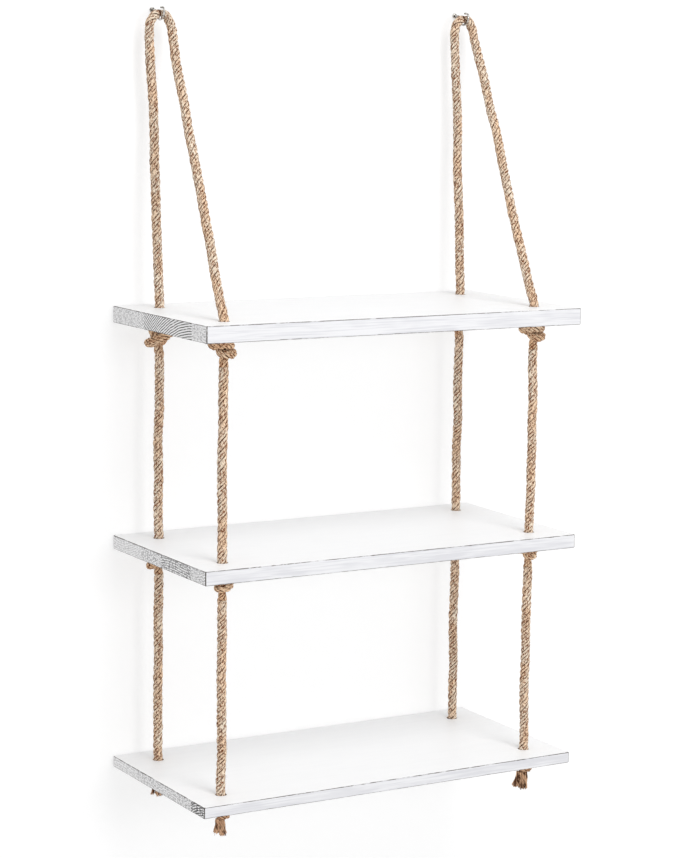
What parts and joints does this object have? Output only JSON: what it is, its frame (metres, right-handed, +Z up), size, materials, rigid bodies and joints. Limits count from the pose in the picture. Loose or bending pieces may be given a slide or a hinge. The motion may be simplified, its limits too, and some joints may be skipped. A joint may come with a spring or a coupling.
{
  "type": "hanging rope shelf",
  "caption": "Wall shelf of white painted boards carried on two jute ropes that hang from screw hooks, with a stopper knot under every board at each rope.",
  "frame": {"origin": "on the face of the wall, level with the shanks of the two screw hooks and over the middle of the boards", "axes": "+Z up, along the hang of the ropes; +X to the right along the boards, seen from the front; +Y into the wall"},
  "size_m": [0.46, 0.242, 0.8699],
  "materials": {
    "painted_wood": "white paint worn through along the edges",
    "jute_rope": "three-strand laid jute rope",
    "hook_nickel": "bright nickel plate"
  },
  "bodies": {
    "hooks": {"hook_left": "hook_nickel", "hook_right": "hook_nickel", "hook_collar_left": "hook_nickel", "hook_collar_right": "hook_nickel"},
    "left_crown": {"rope_crown_left": "jute_rope"},
    "right_crown": {"rope_crown_right": "jute_rope"},
    "left_upper_ropes": {"upper_rope_rear_left": "jute_rope", "upper_rope_front_left": "jute_rope"},
    "right_upper_ropes": {"upper_rope_rear_right": "jute_rope", "upper_rope_front_right": "jute_rope"},
    "top_shelf": {"top_board": "painted_wood", "top_knot_rear_left": "jute_rope", "top_knot_front_left": "jute_rope", "top_knot_rear_right": "jute_rope", "top_knot_front_right": "jute_rope"},
    "left_middle_ropes": {"middle_rope_rear_left": "jute_rope", "middle_rope_front_left": "jute_rope"},
    "right_middle_ropes": {"middle_rope_rear_right": "jute_rope", "middle_rope_front_right": "jute_rope"},
    "middle_shelf": {"middle_board": "painted_wood", "middle_knot_rear_left": "jute_rope", "middle_knot_front_left": "jute_rope", "middle_knot_rear_right": "jute_rope", "middle_knot_front_right": "jute_rope"},
    "left_lower_ropes": {"lower_rope_rear_left": "jute_rope", "lower_rope_front_left": "jute_rope"},
    "right_lower_ropes": {"lower_rope_rear_right": "jute_rope", "lower_rope_front_right": "jute_rope"},
    "bottom_shelf": {"bottom_board": "painted_wood", "bottom_knot_rear_left": "jute_rope", "bottom_knot_front_left": "jute_rope", "bottom_knot_rear_right": "jute_rope", "bottom_knot_front_right": "jute_rope", "tail_rear_left": "jute_rope", "tail_front_left": "jute_rope", "tail_rear_right": "jute_rope", "tail_front_right": "jute_rope"}
  },
  "joints": [
    {"name": "swing_out", "type": "hinge", "parent": "hooks", "child": "left_crown", "pos_m": [-0.184, -0.01986, -0.00381], "axis": [-1, 0, 0], "range_deg": [0, 45]},
    {"name": "swing_out_right", "type": "hinge", "parent": "hooks", "child": "right_crown", "pos_m": [0.2, -0.01986, -0.00381], "axis": [-1, 0, 0], "range_deg": [0, 45]},
    {"name": "sway", "type": "hinge", "parent": "left_crown", "child": "left_upper_ropes", "pos_m": [-0.184, -0.01986, -0.00381], "axis": [0, 1, 0], "range_deg": [-8, 8]},
    {"name": "sway_right_upper", "type": "hinge", "parent": "right_crown", "child": "right_upper_ropes", "pos_m": [0.2, -0.01986, -0.00381], "axis": [0, 1, 0], "range_deg": [-8, 8]},
    {"name": "top_shelf_level", "type": "hinge", "parent": "left_upper_ropes", "child": "top_shelf", "pos_m": [-0.192, -0.111, -0.316], "axis": [0, 1, 0], "range_deg": [-8, 8]},
    {"name": "sway_left_middle", "type": "hinge", "parent": "top_shelf", "child": "left_middle_ropes", "pos_m": [-0.192, -0.111, -0.36485], "axis": [0, 1, 0], "range_deg": [-8, 8]},
    {"name": "sway_right_middle", "type": "hinge", "parent": "top_shelf", "child": "right_middle_ropes", "pos_m": [0.192, -0.111, -0.36485], "axis": [0, 1, 0], "range_deg": [-8, 8]},
    {"name": "middle_shelf_level", "type": "hinge", "parent": "left_middle_ropes", "child": "middle_shelf", "pos_m": [-0.192, -0.111, -0.568], "axis": [0, 1, 0], "range_deg": [-8, 8]},
    {"name": "sway_left_lower", "type": "hinge", "parent": "middle_shelf", "child": "left_lower_ropes", "pos_m": [-0.192, -0.111, -0.61002], "axis": [0, 1, 0], "range_deg": [-8, 8]},
    {"name": "sway_right_lower", "type": "hinge", "parent": "middle_shelf", "child": "right_lower_ropes", "pos_m": [0.192, -0.111, -0.61002], "axis": [0, 1, 0], "range_deg": [-8, 8]},
    {"name": "bottom_shelf_level", "type": "hinge", "parent": "left_lower_ropes", "child": "bottom_shelf", "pos_m": [-0.192, -0.111, -0.817], "axis": [0, 1, 0], "range_deg": [-8, 8]}
  ],
  "couplings": [
    {"joint": "swing_out_right", "follows": "swing_out", "ratio": 1},
    {"joint": "sway_right_upper", "follows": "sway", "ratio": 1},
    {"joint": "top_shelf_level", "follows": "sway", "ratio": -1},
    {"joint": "sway_left_middle", "follows": "sway", "ratio": 1},
    {"joint": "sway_right_middle", "follows": "sway", "ratio": 1},
    {"joint": "middle_shelf_level", "follows": "sway", "ratio": -1},
    {"joint": "sway_left_lower", "follows": "sway", "ratio": 1},
    {"joint": "sway_right_lower", "follows": "sway", "ratio": 1},
    {"joint": "bottom_shelf_level", "follows": "sway", "ratio": -1}
  ]
}
